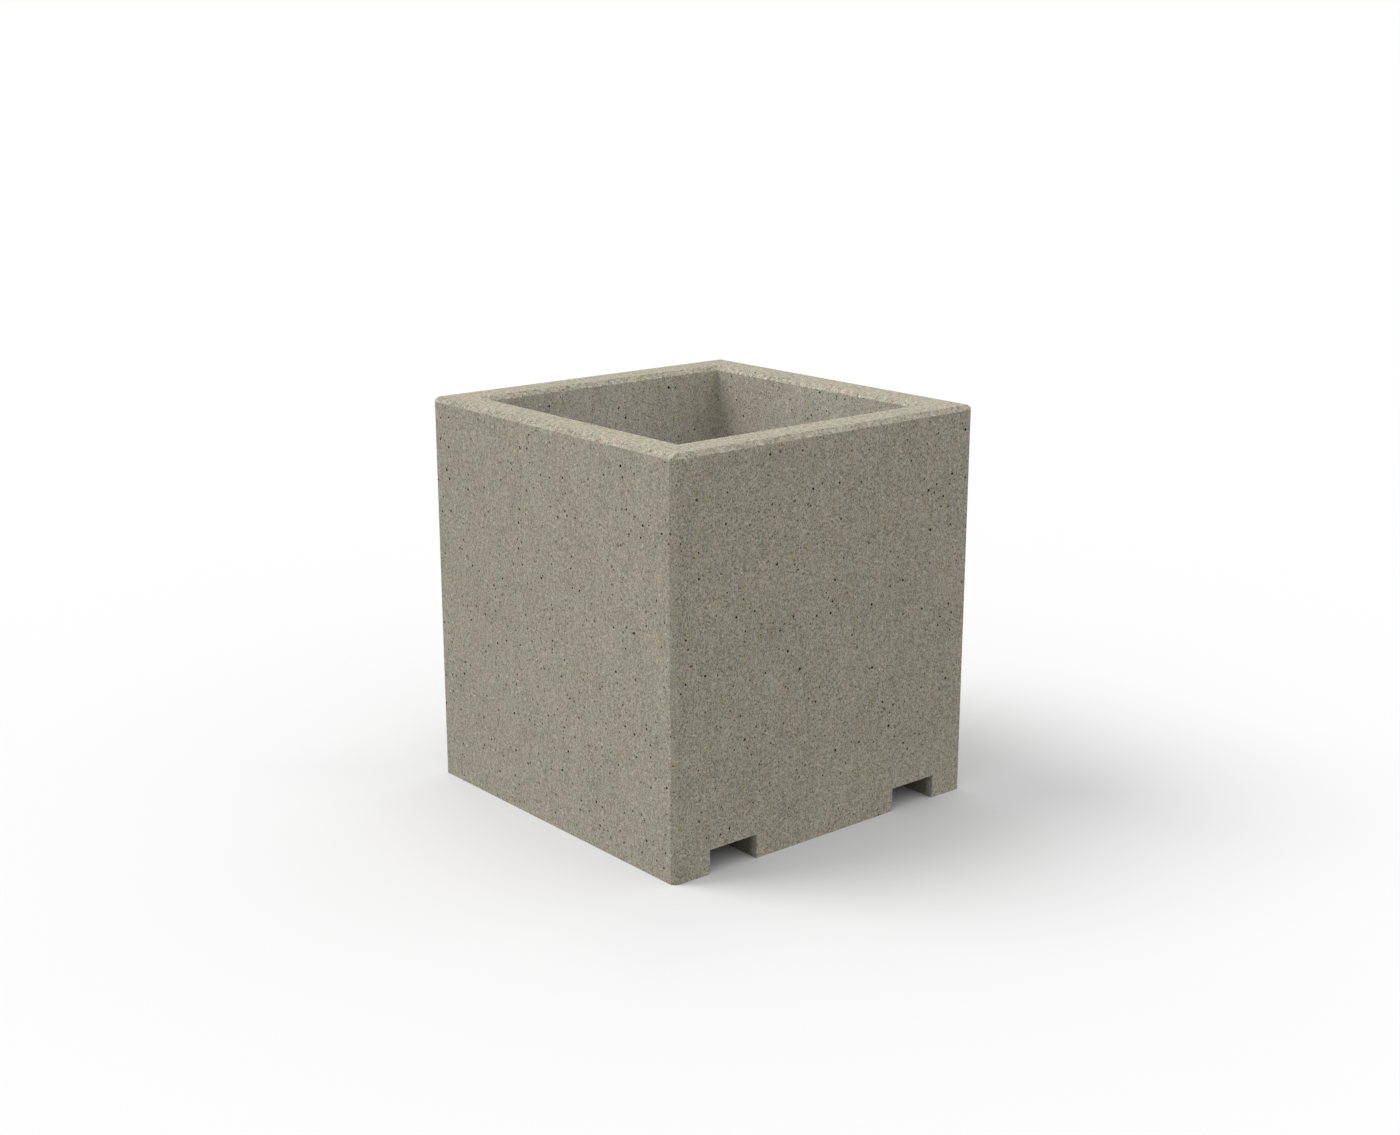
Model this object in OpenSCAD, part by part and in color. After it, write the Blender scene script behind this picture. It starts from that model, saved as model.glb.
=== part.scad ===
// Open-topped square concrete barrier planter with two fork slots, cast upside down in one pour
// around a tied cage of reinforcing bars. Millimetres, +Z up, origin on the ground at the centre
// of the base. The fork slots run along Y and the front faces -Y.

/* [Body] */
// Width along X, across the fork slots
body_width = 1016; // [813:0.1:1300]
// Depth along Y, along the fork slots
body_depth = 1016; // [813:0.1:1300]
// Height from the ground to the rim
body_height = 1066.8; // [762:0.1:1400]
// Thickness of the four walls
wall = 101.6; // [95:0.1:150]
// Thickness of the floor above the fork slots
floor_slab = 88.9; // [85:0.1:130]

/* [Edges] */
// Chamfer at 45 degrees on the four outer vertical corners
corner_chamfer = 12.7; // [6:0.1:20]
// Chamfer at 45 degrees around the outside of the rim
rim_chamfer = 12.7; // [6:0.1:20]
// Chamfer at 45 degrees around the inside of the rim
inner_rim_chamfer = 12.7; // [6:0.1:20]

/* [Fork slots] */
// Width of each slot, for one fork of a truck
slot_width = 152.4; // [127:0.1:183]
// Height of each slot above the ground
slot_height = 63.5; // [50:0.1:90]
// Distance from each side of the body to the slot beside it
slot_inset = 114.3; // [110:0.1:140]

/* [Drains] */
// Outer diameter of the plastic pipe that lines each drain
drain_pipe_d = 48.3; // [30:0.1:60]
// Wall of the drain pipe
drain_pipe_wall = 3.7; // [2:0.1:5]
// Distance between the two drains over one slot
drain_spacing = 508; // [420:1:560]

/* [Reinforcing bars] */
// Diameter of every bar
bar_d = 12.7; // [9.5:0.1:13]
// Concrete between the outermost bars and the outer faces
cover = 38.1; // [34:0.1:40]
// Bend radius of the hoops at the middle of the bar
hoop_bend_r = 31.8; // [28:0.1:40]
// Bend radius of the U-bars at the middle of the bar
u_bar_bend_r = 44.5; // [38:0.1:50]
// Hoops in the whole height, from the floor slab to the rim
hoop_count = 7; // [5:1:9]
// Distance from a drain to the U-bar on each side of it
drain_to_bar = 101.6; // [70:0.1:120]

/* [Wire and spacers] */
// Diameter of the tie wire
tie_wire_d = 1.6; // [1.2:0.1:2]
// Concrete left between a wheel spacer and the outer face
wheel_skin = 1.5; // [1:0.1:5]
// Thickness of a wheel spacer along its bar
wheel_thickness = 12; // [8:0.5:20]
// Diameter of the four windows in a wheel spacer
wheel_window_d = 18; // [12:0.5:19]
// Width of the mouth that clips a wheel spacer onto its bar
wheel_mouth = 9; // [6:0.5:9]
// Diameter of a chair's foot
chair_foot_d = 30; // [24:0.5:36]
// Thickness of a chair's foot
chair_foot_h = 4; // [3:0.5:6]
// Diameter of a chair's stem
chair_stem_d = 18; // [16:0.5:22]
// How far a chair's saddle comes down the sides of its bar
chair_grip = 4; // [2:0.5:5]

/* [Lifting inserts] */
// Distance between the inserts along Y
insert_spacing_y = 508; // [420:1:560]
// Outer diameter of an insert's ferrule
ferrule_d = 32; // [28:0.5:36]
// Diameter of the ferrule's threaded hole
ferrule_bore = 20; // [16:0.5:24]
// Length of the ferrule
ferrule_length = 60; // [50:0.5:64]
// Depth of the threaded hole
ferrule_bore_depth = 50; // [40:0.5:48]
// How far the ferrule's mouth is set back from the underside
ferrule_setback = 3; // [1:0.5:6]
// Diameter of the anchor loop's wire
loop_wire_d = 8; // [6:0.5:10]
// Length of an anchor loop's legs, from their lower ends to the bend
loop_leg = 55; // [45:0.5:60]
// How far the loop's legs lie along the ferrule, where they are welded to it
loop_lap = 12; // [8:0.5:25]

/* [Fits] */
// Gap between the concrete and what is cast into it
cast_gap = 0.2; // [0.2:0.05:0.25]
// Gap between two pieces that are tied, clipped or welded together
joint_gap = 0.6; // [0.55:0.05:0.7]

/* [Hidden] */
$fn = 48;
over = 5;  // how far a cutting shape runs past the face that it opens

half_width = body_width / 2;
half_depth = body_depth / 2;
slab_top = slot_height + floor_slab;
slab_middle = slot_height + floor_slab / 2;

// Feet and slots, across X
middle_foot = body_width - 2 * (slot_inset + slot_width);
slot_x = half_width - slot_inset - slot_width / 2;
foot_bar_edge = slot_inset / 2;

// The cage, counted from the outer faces to the middle of a bar
bar_r = bar_d / 2;
bar_pitch = bar_d + joint_gap;
hoop_inset = cover + bar_r;
leg_inset = hoop_inset + bar_pitch;
corner_inset = hoop_inset + hoop_bend_r - (hoop_bend_r - bar_pitch) / sqrt(2);
bar_top = body_height - cover;
rim_hoop_z = bar_top - bar_r;
hoop_pitch = (rim_hoop_z - slab_middle) / (hoop_count - 1);
floor_bar_z = slab_middle - bar_pitch / 2;
foot_bar_z = cover + bar_r;

drain_y = drain_spacing / 2;
cross_bar_y = [-drain_y - drain_to_bar, -drain_y + drain_to_bar, 0,
               drain_y - drain_to_bar, drain_y + drain_to_bar];
long_bar_x = [for (i = [-3, -1, 1, 3]) i * middle_foot / 6];
foot_bar_x = [-half_width + foot_bar_edge, -middle_foot / 2 + foot_bar_edge,
              middle_foot / 2 - foot_bar_edge, half_width - foot_bar_edge];
last_cross = len(cross_bar_y) - 1;
last_long = len(long_bar_x) - 1;

// Wheel spacers sit halfway between upright bars, on the second hoop and the last but one
wheel_r = hoop_inset - wheel_skin;
wheel_hub_r = bar_r + joint_gap;
wheel_window_at = (wheel_hub_r + wheel_r) / 2;
wheel_hoops = [1, hoop_count - 2];
wheel_y = drain_y;
wheel_x = middle_foot / 3;

tie_r = tie_wire_d / 2;
tie_ring_r = bar_pitch / 2 + bar_r + joint_gap + tie_r;
tie_wire_sides = 8;  // thin wire needs no rounder section
insert_x = middle_foot / 4;
insert_y = insert_spacing_y / 2;
ferrule_top = ferrule_setback + ferrule_length;
loop_foot_z = ferrule_top - loop_lap;
loop_width = ferrule_d + loop_wire_d + 2 * joint_gap;

CORNERS = ["front_left", "front_right", "back_left", "back_right"];
HOOPS = [for (i = [0 : hoop_count - 1])
    i == 0 ? "floor_hoop" : i == hoop_count - 1 ? "rim_hoop" : str("wall_hoop_", i)];
CROSS_BARS = [for (i = [0 : last_cross]) str("cross_u_bar_", i + 1)];
LONG_BARS = [for (i = [0 : last_long]) str("long_u_bar_", i + 1)];
CORNER_BARS = [for (name = CORNERS) str("corner_bar_", name)];
FOOT_BARS = [for (i = [0 : len(foot_bar_x) - 1]) str("foot_bar_", i + 1)];
SLEEVES = [for (name = CORNERS) str("drain_sleeve_", name)];

concrete_color = [0.66, 0.64, 0.58];
steel_color = [0.42, 0.30, 0.24];
wire_color = [0.22, 0.22, 0.23];
sleeve_color = [0.88, 0.88, 0.86];
spacer_color = [0.55, 0.57, 0.60];
zinc_color = [0.72, 0.74, 0.76];

function corner_sign_x(i) = i % 2 == 0 ? -1 : 1;
function corner_sign_y(i) = i < 2 ? -1 : 1;
function hoop_z(i) = slab_middle + i * hoop_pitch;

// ---- bars -------------------------------------------------------------------------------------

// A quarter turn of bar about the origin, in the XY plane, from +X to +Y
module bent_bar(bend_r, r) {
    rotate_extrude(angle = 90) translate([bend_r, 0]) circle(r);
}

// A closed hoop lying in the XY plane, bent round the four corners
module hoop(r) {
    run_x = body_width - 2 * (hoop_inset + hoop_bend_r);
    run_y = body_depth - 2 * (hoop_inset + hoop_bend_r);
    for (s = [-1, 1]) {
        translate([-run_x / 2, s * (half_depth - hoop_inset), 0]) rotate([0, 90, 0])
            cylinder(r = r, h = run_x);
        translate([s * (half_width - hoop_inset), run_y / 2, 0]) rotate([90, 0, 0])
            cylinder(r = r, h = run_y);
    }
    for (i = [0 : 3])
        translate([(i == 0 || i == 3 ? 1 : -1) * run_x / 2, (i < 2 ? 1 : -1) * run_y / 2, 0])
            rotate([0, 0, 90 * i]) bent_bar(hoop_bend_r, r);
}

// A U-bar in the XZ plane: down one wall, across the floor and up the other wall
module u_bar(span, floor_z, grow = 0) {
    r = bar_r + grow;
    leg_start = floor_z + u_bar_bend_r;
    run = span - 2 * u_bar_bend_r;
    translate([-run / 2, 0, floor_z]) rotate([0, 90, 0]) cylinder(r = r, h = run);
    for (s = [0, 1]) mirror([s, 0, 0]) {
        translate([span / 2, 0, leg_start]) cylinder(r = r, h = bar_top + grow - leg_start);
        translate([run / 2, 0, leg_start]) rotate([90, 0, 0]) mirror([0, 1, 0])
            bent_bar(u_bar_bend_r, r);
    }
}

module cross_u_bar(i, grow = 0) {
    translate([0, cross_bar_y[i], 0]) u_bar(body_width - 2 * leg_inset, floor_bar_z, grow);
}

module long_u_bar(i, grow = 0) {
    translate([long_bar_x[i], 0, 0]) rotate([0, 0, 90])
        u_bar(body_depth - 2 * leg_inset, floor_bar_z + bar_pitch, grow);
}

// An upright bar nested in the bends of the hoops, standing on the foot bar below it
module corner_bar(i, grow = 0) {
    bottom = foot_bar_z + bar_pitch - bar_r;
    translate([corner_sign_x(i) * (half_width - corner_inset),
               corner_sign_y(i) * (half_depth - corner_inset), bottom - grow])
        cylinder(r = bar_r + grow, h = bar_top - bottom + 2 * grow);
}

module foot_bar(i, grow = 0) {
    run = body_depth - 2 * cover + 2 * grow;
    translate([foot_bar_x[i], run / 2, foot_bar_z]) rotate([90, 0, 0])
        cylinder(r = bar_r + grow, h = run);
}

// ---- tie wire ---------------------------------------------------------------------------------

// One ring of wire set diagonally round two crossing bars, the first on the XY plane
module tie(grow = 0) {
    translate([0, 0, bar_pitch / 2]) rotate([90, 0, 45]) rotate_extrude()
        translate([tie_ring_r, 0]) circle(tie_r + grow, $fn = tie_wire_sides);
}

// Every second crossing is tied: in the four walls above the floor hoop, and in the floor
module ties(grow = 0) {
    for (j = [1 : hoop_count - 1]) {
        for (i = [0 : last_cross]) if ((i + j) % 2 == 0) for (s = [-1, 1])
            translate([s * (half_width - leg_inset), cross_bar_y[i], hoop_z(j)])
                rotate([0, 90 * s, 0]) tie(grow);
        for (i = [0 : last_long]) if ((i + j) % 2 == 0) for (s = [-1, 1])
            translate([long_bar_x[i], s * (half_depth - leg_inset), hoop_z(j)])
                rotate([-90 * s, 0, 0]) tie(grow);
    }
    for (i = [0 : last_cross], j = [0 : last_long]) if ((i + j) % 2 == 0)
        translate([long_bar_x[j], cross_bar_y[i], floor_bar_z]) tie(grow);
}

// ---- spacers ----------------------------------------------------------------------------------

// A plastic wheel round a bar on the Z axis, with its clipping mouth towards +X
module wheel(grow = 0) {
    height = wheel_thickness + 2 * grow;
    difference() {
        translate([0, 0, -height / 2]) cylinder(r = wheel_r + grow, h = height);
        for (a = [45 : 90 : 315]) rotate([0, 0, a])
            translate([wheel_window_at, 0, -height])
                cylinder(d = wheel_window_d - 2 * grow, h = 2 * height);
        translate([0, -wheel_mouth / 2 + grow, -height])
            cube([wheel_r + over, wheel_mouth - 2 * grow, 2 * height]);
        if (grow == 0) translate([0, 0, -height]) cylinder(r = wheel_hub_r, h = 2 * height);
    }
}

module wheels(grow = 0) {
    for (j = wheel_hoops, s = [-1, 1], t = [-1, 1]) {
        translate([s * (half_width - hoop_inset), t * wheel_y, hoop_z(j)])
            rotate([90, 90, 0]) wheel(grow);
        translate([t * wheel_x, s * (half_depth - hoop_inset), hoop_z(j)])
            rotate([0, 90, 0]) wheel(grow);
    }
}

// A plastic chair between the floor's upper face and a U-bar, its foot flush with that face
module chair(grow = 0) {
    bar_z = floor_bar_z + bar_pitch;
    stem_bottom = bar_z + bar_r - chair_grip;
    difference() {
        union() {
            translate([0, 0, slab_top - chair_foot_h - grow])
                cylinder(d = chair_foot_d + 2 * grow, h = chair_foot_h + (grow > 0 ? over : 0));
            translate([0, 0, stem_bottom - grow])
                cylinder(d = chair_stem_d + 2 * grow, h = slab_top - chair_foot_h - stem_bottom);
        }
        if (grow == 0) translate([0, chair_foot_d, bar_z]) rotate([90, 0, 0])
            cylinder(r = bar_r + joint_gap, h = 2 * chair_foot_d);
    }
}

module chairs(grow = 0) {
    for (x = long_bar_x, s = [-1, 1]) translate([x, s * drain_y, 0]) chair(grow);
}

// ---- drains and inserts -----------------------------------------------------------------------

module at_drain(i) {
    translate([corner_sign_x(i) * slot_x, corner_sign_y(i) * drain_y, slot_height]) children();
}

module drain_sleeve(i) {
    at_drain(i) difference() {
        cylinder(d = drain_pipe_d, h = floor_slab);
        translate([0, 0, -over]) cylinder(d = drain_pipe_d - 2 * drain_pipe_wall,
                                          h = floor_slab + 2 * over);
    }
}

module at_inserts() {
    for (i = [0 : 3])
        translate([corner_sign_x(i) * insert_x, corner_sign_y(i) * insert_y, 0]) children();
}

module ferrule() {
    translate([0, 0, ferrule_setback]) difference() {
        cylinder(d = ferrule_d, h = ferrule_length);
        translate([0, 0, -over]) cylinder(d = ferrule_bore, h = ferrule_bore_depth + over);
    }
}

// A wire loop in the YZ plane, its legs welded to the sides of the ferrule
module anchor_loop(grow = 0) {
    r = loop_wire_d / 2 + grow;
    for (s = [-1, 1]) translate([0, s * loop_width / 2, loop_foot_z - grow])
        cylinder(r = r, h = loop_leg + grow);
    translate([0, 0, loop_foot_z + loop_leg]) rotate([90, 0, 90]) rotate_extrude(angle = 180)
        translate([loop_width / 2, 0]) circle(r);
}

// ---- concrete ---------------------------------------------------------------------------------

// Across X: the feet, the two slots and the chamfered rim
module front_outline() {
    polygon(concat(
        [[-half_width, 0]],
        [for (s = [-1, 1]) each [
            [s * slot_x - slot_width / 2, 0], [s * slot_x - slot_width / 2, slot_height],
            [s * slot_x + slot_width / 2, slot_height], [s * slot_x + slot_width / 2, 0]]],
        [[half_width, 0], [half_width, body_height - rim_chamfer],
         [half_width - rim_chamfer, body_height], [-half_width + rim_chamfer, body_height],
         [-half_width, body_height - rim_chamfer]]));
}

module side_outline() {
    polygon([[-half_depth, 0], [half_depth, 0], [half_depth, body_height - rim_chamfer],
             [half_depth - rim_chamfer, body_height], [-half_depth + rim_chamfer, body_height],
             [-half_depth, body_height - rim_chamfer]]);
}

module plan_outline() {
    c = corner_chamfer;
    polygon([for (i = [0 : 3]) let (sx = i == 0 || i == 3 ? 1 : -1, sy = i < 2 ? 1 : -1)
        each (i % 2 == 0
            ? [[sx * half_width, sy * (half_depth - c)], [sx * (half_width - c), sy * half_depth]]
            : [[sx * (half_width - c), sy * half_depth], [sx * half_width, sy * (half_depth - c)]])]);
}

// Across the cavity: straight walls that open out at the inner chamfer
module cavity_outline(half_outside) {
    half = half_outside - wall;
    top = body_height + over;
    flare = half + inner_rim_chamfer + over;
    polygon([[-half, slab_top], [half, slab_top], [half, body_height - inner_rim_chamfer],
             [flare, top], [-flare, top], [-half, body_height - inner_rim_chamfer]]);
}

module outer_form() {
    intersection() {
        linear_extrude(body_height) plan_outline();
        translate([0, half_depth + over, 0]) rotate([90, 0, 0])
            linear_extrude(body_depth + 2 * over) front_outline();
        translate([-half_width - over, 0, 0]) rotate([90, 0, 90])
            linear_extrude(body_width + 2 * over) side_outline();
    }
}

module inner_form() {
    intersection() {
        translate([0, half_depth, 0]) rotate([90, 0, 0]) linear_extrude(body_depth)
            cavity_outline(half_width);
        translate([-half_width, 0, 0]) rotate([90, 0, 90]) linear_extrude(body_width)
            cavity_outline(half_depth);
    }
}

// The room that the concrete leaves for everything cast into it
module cast_in_room() {
    for (i = [0 : hoop_count - 1]) translate([0, 0, hoop_z(i)]) hoop(bar_r + cast_gap);
    for (i = [0 : last_cross]) cross_u_bar(i, cast_gap);
    for (i = [0 : last_long]) long_u_bar(i, cast_gap);
    for (i = [0 : 3]) corner_bar(i, cast_gap);
    for (i = [0 : len(foot_bar_x) - 1]) foot_bar(i, cast_gap);
    ties(cast_gap);
    wheels(cast_gap);
    chairs(cast_gap);
    for (i = [0 : 3]) at_drain(i) translate([0, 0, -over])
        cylinder(d = drain_pipe_d + 2 * cast_gap, h = floor_slab + 2 * over);
    at_inserts() {
        translate([0, 0, -over]) cylinder(d = ferrule_d + 2 * cast_gap,
                                          h = ferrule_top + over + cast_gap);
        anchor_loop(cast_gap);
    }
}

module concrete_shell() {
    color(concrete_color) difference() {
        outer_form();
        inner_form();
        cast_in_room();
    }
}

// ---- nodes ------------------------------------------------------------------------------------

concrete_shell();
for (i = [0 : hoop_count - 1]) color(steel_color) translate([0, 0, hoop_z(i)]) hoop(bar_r);
for (i = [0 : last_cross]) color(steel_color) cross_u_bar(i);
for (i = [0 : last_long]) color(steel_color) long_u_bar(i);
for (i = [0 : 3]) color(steel_color) corner_bar(i);
for (i = [0 : len(foot_bar_x) - 1]) color(steel_color) foot_bar(i);
for (i = [0 : 3]) color(sleeve_color) drain_sleeve(i);
color(wire_color) ties();  // tie_wires
color(spacer_color) wheels();  // wheel_spacers
color(spacer_color) chairs();  // bar_chairs
color(zinc_color) at_inserts() ferrule();  // insert_ferrules
color(zinc_color) at_inserts() anchor_loop();  // insert_loops
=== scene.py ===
"""Looks of a square precast concrete barrier planter with two fork slots.

The concrete is modelled here as one detailed casting: mitred chamfers, eased arrises, drain holes,
pockets for the cast-in pieces and the small blow holes that air leaves against a form. Everything
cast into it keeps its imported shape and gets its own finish. All lengths are metres.
"""

import logging
import math
import random
from collections.abc import Callable, Iterator
from dataclasses import dataclass, field
from enum import Enum

import bpy
from mathutils import Euler, Matrix, Vector
from mathutils.kdtree import KDTree


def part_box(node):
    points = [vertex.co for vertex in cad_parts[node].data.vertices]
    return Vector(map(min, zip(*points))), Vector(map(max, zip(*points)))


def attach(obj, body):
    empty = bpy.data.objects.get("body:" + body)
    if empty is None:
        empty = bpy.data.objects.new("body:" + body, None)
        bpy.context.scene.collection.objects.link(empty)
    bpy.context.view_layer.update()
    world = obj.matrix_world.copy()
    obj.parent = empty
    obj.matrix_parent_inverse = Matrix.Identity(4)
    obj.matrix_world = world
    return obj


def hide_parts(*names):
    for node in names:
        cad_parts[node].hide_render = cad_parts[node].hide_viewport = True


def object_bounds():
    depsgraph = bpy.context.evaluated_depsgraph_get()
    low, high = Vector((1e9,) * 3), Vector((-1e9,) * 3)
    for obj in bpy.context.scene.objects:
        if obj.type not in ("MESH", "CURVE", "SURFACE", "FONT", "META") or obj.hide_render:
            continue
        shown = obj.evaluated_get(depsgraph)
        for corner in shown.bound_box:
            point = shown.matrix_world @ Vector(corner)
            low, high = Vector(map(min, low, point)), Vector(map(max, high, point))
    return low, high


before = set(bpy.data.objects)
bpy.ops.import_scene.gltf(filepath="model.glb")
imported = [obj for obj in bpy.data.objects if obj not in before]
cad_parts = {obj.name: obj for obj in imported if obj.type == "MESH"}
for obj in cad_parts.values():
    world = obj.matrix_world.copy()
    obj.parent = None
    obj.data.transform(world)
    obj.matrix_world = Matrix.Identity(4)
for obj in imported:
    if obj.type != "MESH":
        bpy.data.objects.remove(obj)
CAD_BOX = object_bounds()

Colour = tuple[float, float, float]
Socket = bpy.types.NodeSocket
Feed = Socket | float | tuple[float, ...]
Feeds = dict[str | int, Feed]

POST_SIDES = 64

log = logging.getLogger("planter")


class Role(Enum):
    """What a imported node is, by the words that its name starts with."""

    BAR = ("floor_hoop", "wall_hoop", "rim_hoop", "cross_u_bar", "long_u_bar", "corner_bar", "foot_bar")
    WIRE = ("tie_wires",)
    SLEEVE = ("drain_sleeve",)
    SPACER = ("wheel_spacers", "bar_chairs")
    INSERT = ("insert_ferrules", "insert_loops")

    def nodes(self) -> list[str]:
        """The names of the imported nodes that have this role."""
        return sorted(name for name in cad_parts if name.startswith(self.value))


class Ground(Enum):
    """The kind of surface that a run of blow holes is scattered over, with holes per square metre."""

    OUTER_WALL = 110.0
    INNER_WALL = 105.0
    SLOT_WALL = 40.0


# ---- shader graphs -----------------------------------------------------------------------------


@dataclass(frozen=True)
class Grain:
    """A fine noise: grains per metre and how far its value swings."""

    scale: float
    contrast: float


@dataclass(frozen=True)
class Blotch:
    """Large soft patches: patches per metre, and how wide the change between them is, up to 0.5."""

    scale: float
    edge: float


@dataclass(frozen=True)
class Scatter:
    """Round specks: cells per metre, the share that hold one, the largest radius as a share of a cell,
    how strongly the specks show, and the share on faces that look up.
    """

    scale: float
    share: float
    radius: float
    strength: float = 1.0
    share_on_top: float = 0.0


class Graph:
    """Adds nodes to one node tree and wires them up."""

    def __init__(self, tree: bpy.types.NodeTree) -> None:
        """Starts on a tree that may already hold nodes."""
        self.tree = tree
        self.count = 0

    def feed(self, socket: Socket, value: Feed) -> None:
        """Gives a socket a link or a plain value.

        Args:
            socket: The input to set.
            value: Another node's output, a number, or a vector or colour.
        """
        if isinstance(value, bpy.types.NodeSocket):
            self.tree.links.new(value, socket)
        elif isinstance(value, tuple) and socket.type == "RGBA" and len(value) == 3:
            socket.default_value = (*value, 1.0)
        else:
            socket.default_value = value

    def node(self, kind: str, feeds: Feeds | None = None, **settings: object) -> bpy.types.Node:
        """Adds one node.

        Args:
            kind: The node's Blender type.
            feeds: What each named or numbered input gets.
            **settings: Properties of the node itself.

        Returns:
            The new node.
        """
        node = self.tree.nodes.new(kind)
        node.location = (self.count % 8 * 220, -(self.count // 8) * 320)
        self.count += 1
        for name, value in settings.items():
            setattr(node, name, value)
        for key, value in (feeds or {}).items():
            self.feed(node.inputs[key], value)
        return node

    def math(self, operation: str, first: Feed, second: Feed = 0.0, clamp: bool = False) -> Socket:
        """One arithmetic step.

        Args:
            operation: Blender's name for it, such as MULTIPLY.
            first: The first operand.
            second: The second operand, where the operation has one.
            clamp: Whether the result is kept between 0 and 1.

        Returns:
            The result.
        """
        node = self.node("ShaderNodeMath", {0: first, 1: second}, operation=operation, use_clamp=clamp)
        return node.outputs[0]

    def ramp(self, value: Feed, low: Feed, high: Feed, at_low: Feed = 0.0, at_high: Feed = 1.0) -> Socket:
        """A smooth step from one value to another.

        Args:
            value: What is mapped.
            low: Where the step starts.
            high: Where the step ends.
            at_low: The result at and below the start.
            at_high: The result at and above the end.

        Returns:
            The mapped value.
        """
        feeds: Feeds = {"Value": value, "From Min": low, "From Max": high}
        feeds |= {"To Min": at_low, "To Max": at_high}
        node = self.node("ShaderNodeMapRange", feeds, interpolation_type="SMOOTHSTEP")
        return node.outputs["Result"]

    def mix(self, share: Feed, first: Feed, second: Feed, blend: str = "MIX") -> Socket:
        """A blend of two colours.

        Args:
            share: How much of the second colour shows.
            first: The first colour.
            second: The second colour.
            blend: Blender's name for the way they blend.

        Returns:
            The blended colour.
        """
        feeds: Feeds = {0: share, 6: first, 7: second}
        node = self.node("ShaderNodeMix", feeds, data_type="RGBA", blend_type=blend)
        return node.outputs[2]

    def noise(self, vector: Feed, scale: Feed, detail: float = 2.0, roughness: float = 0.5) -> bpy.types.Node:
        """Blender's noise texture, with outputs Fac and Color.

        Args:
            vector: Where it is read.
            scale: Features per metre.
            detail: How many finer layers it has.
            roughness: How strong the finer layers are.

        Returns:
            The node.
        """
        feeds: Feeds = {"Vector": vector, "Scale": scale, "Detail": detail}
        return self.node("ShaderNodeTexNoise", feeds | {"Roughness": roughness})

    def stretch(self, vector: Feed, scale: tuple[float, float, float], tilt: float = 0.0) -> Socket:
        """Scales, and may tilt, the place at which a pattern is read.

        Args:
            vector: The place.
            scale: How far the pattern is drawn out along each axis.
            tilt: The turn about X and Y in degrees.

        Returns:
            The scaled place.
        """
        turn = (math.radians(tilt), math.radians(tilt), 0.0)
        feeds: Feeds = {"Vector": vector, "Scale": scale, "Rotation": turn}
        return self.node("ShaderNodeMapping", feeds, vector_type="TEXTURE").outputs["Vector"]


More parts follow.
